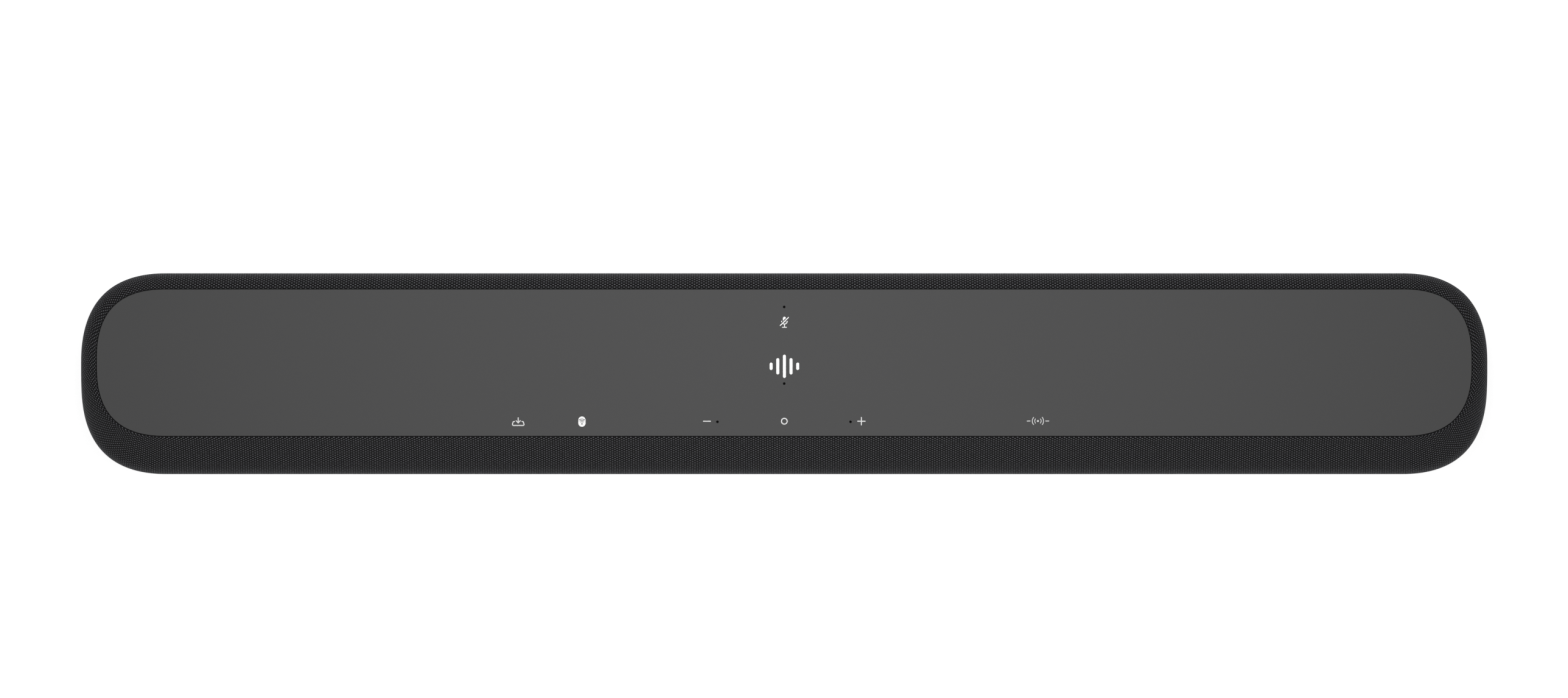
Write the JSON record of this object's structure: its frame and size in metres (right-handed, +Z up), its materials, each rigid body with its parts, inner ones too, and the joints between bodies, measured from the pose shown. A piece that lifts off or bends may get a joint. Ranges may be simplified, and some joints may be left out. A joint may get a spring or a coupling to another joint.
{
  "type": "soundbar",
  "caption": "Compact cloth-wrapped bar loudspeaker with a flush touch panel, rounded ends, down-firing woofers, small front and end drivers and a rear socket bay.",
  "frame": {"origin": "on the surface that the feet stand on, under the middle of the bar", "axes": "+X runs along the bar to its right end seen from the front, -Y is the front, +Z is up"},
  "size_m": [0.7, 0.1, 0.065],
  "materials": {
    "cloth": "fine plain weave, matte",
    "panel": "fine satin texture",
    "housing": "moulded",
    "cover": "moulded, fine spark texture",
    "foot_rubber": "matte",
    "black_screw": "black oxide",
    "brass": "machined",
    "grille_steel": "black powder coat",
    "circuit_board": "solder mask",
    "can_metal": "nickel plate",
    "foam": "closed cell foam",
    "light_guide": "milky diffuser",
    "bay_plastic": "moulded",
    "inlet_plastic": "moulded",
    "heatsink_aluminium": "extruded",
    "transformer_core": "ferrite",
    "zinc_screw": "zinc plate",
    "wire_jacket": "PVC jacket",
    "enclosure_plastic": "moulded",
    "basket_plastic": "glass-filled nylon",
    "motor_steel": "zinc plate",
    "surround_rubber": "butyl rubber",
    "spider_cloth": "resin-treated cotton",
    "woofer_cone": "coated paper",
    "copper_coil": "enamelled copper on a former",
    "frame_steel": "black paint",
    "mid_cone": "coated paper"
  },
  "bodies": {
    "bar": {"fabric_wrap": "cloth", "top_panel": "panel", "upper_housing": "housing", "lower_housing": "housing", "base_cover": "cover", "rubber_feet": "foot_rubber", "base_screws": "black_screw", "wall_mount_inserts": "brass", "woofer_grilles": "grille_steel", "touch_board": "circuit_board", "microphones": "can_metal", "mic_seals": "foam", "led_light_guide": "light_guide", "led_board": "circuit_board", "connector_bay": "bay_plastic", "power_inlet": "inlet_plastic", "hdmi_socket": "can_metal", "usb_socket": "can_metal", "main_board": "circuit_board", "amplifier_board": "circuit_board", "amplifier_heatsink": "heatsink_aluminium", "power_supply_board": "circuit_board", "power_transformer": "transformer_core", "wifi_antennas": "circuit_board", "driver_screws": "zinc_screw", "internal_wiring": "wire_jacket", "mid_enclosure_left": "enclosure_plastic", "mid_enclosure_right": "enclosure_plastic", "woofer_left_basket": "basket_plastic", "woofer_left_motor": "motor_steel", "woofer_left_surround": "surround_rubber", "woofer_left_spider": "spider_cloth", "woofer_right_basket": "basket_plastic", "woofer_right_motor": "motor_steel", "woofer_right_surround": "surround_rubber", "woofer_right_spider": "spider_cloth", "front_driver_left_frame": "frame_steel", "front_driver_left_motor": "motor_steel", "front_driver_left_suspension": "surround_rubber", "front_driver_right_frame": "frame_steel", "front_driver_right_motor": "motor_steel", "front_driver_right_suspension": "surround_rubber", "side_driver_left_frame": "frame_steel", "side_driver_left_motor": "motor_steel", "side_driver_left_suspension": "surround_rubber", "side_driver_right_frame": "frame_steel", "side_driver_right_motor": "motor_steel", "side_driver_right_suspension": "surround_rubber"},
    "woofer_left_diaphragm": {"woofer_left_cone": "woofer_cone", "woofer_left_voice_coil": "copper_coil"},
    "woofer_right_diaphragm": {"woofer_right_cone": "woofer_cone", "woofer_right_voice_coil": "copper_coil"},
    "front_driver_left_diaphragm": {"front_driver_left_cone": "mid_cone", "front_driver_left_voice_coil": "copper_coil"},
    "front_driver_right_diaphragm": {"front_driver_right_cone": "mid_cone", "front_driver_right_voice_coil": "copper_coil"},
    "side_driver_left_diaphragm": {"side_driver_left_cone": "mid_cone", "side_driver_left_voice_coil": "copper_coil"},
    "side_driver_right_diaphragm": {"side_driver_right_cone": "mid_cone", "side_driver_right_voice_coil": "copper_coil"}
  },
  "joints": [
    {"name": "woofer_left_excursion", "type": "slide", "parent": "bar", "child": "woofer_left_diaphragm", "axis": [0, 0, 1], "range_m": [-0.004, 0.004], "stiffness_N_per_m": 1500, "deforming": ["woofer_left_surround", "woofer_left_spider"]},
    {"name": "woofer_right_excursion", "type": "slide", "parent": "bar", "child": "woofer_right_diaphragm", "axis": [0, 0, 1], "range_m": [-0.004, 0.004], "stiffness_N_per_m": 1500, "deforming": ["woofer_right_surround", "woofer_right_spider"]},
    {"name": "front_driver_left_excursion", "type": "slide", "parent": "bar", "child": "front_driver_left_diaphragm", "axis": [0, -1, 0], "range_m": [-0.0015, 0.0015], "stiffness_N_per_m": 1200, "deforming": ["front_driver_left_suspension"]},
    {"name": "front_driver_right_excursion", "type": "slide", "parent": "bar", "child": "front_driver_right_diaphragm", "axis": [0, -1, 0], "range_m": [-0.0015, 0.0015], "stiffness_N_per_m": 1200, "deforming": ["front_driver_right_suspension"]},
    {"name": "side_driver_left_excursion", "type": "slide", "parent": "bar", "child": "side_driver_left_diaphragm", "axis": [-1, 0, 0], "range_m": [-0.0015, 0.0015], "stiffness_N_per_m": 1200, "deforming": ["side_driver_left_suspension"]},
    {"name": "side_driver_right_excursion", "type": "slide", "parent": "bar", "child": "side_driver_right_diaphragm", "axis": [1, 0, 0], "range_m": [-0.0015, 0.0015], "stiffness_N_per_m": 1200, "deforming": ["side_driver_right_suspension"]}
  ]
}
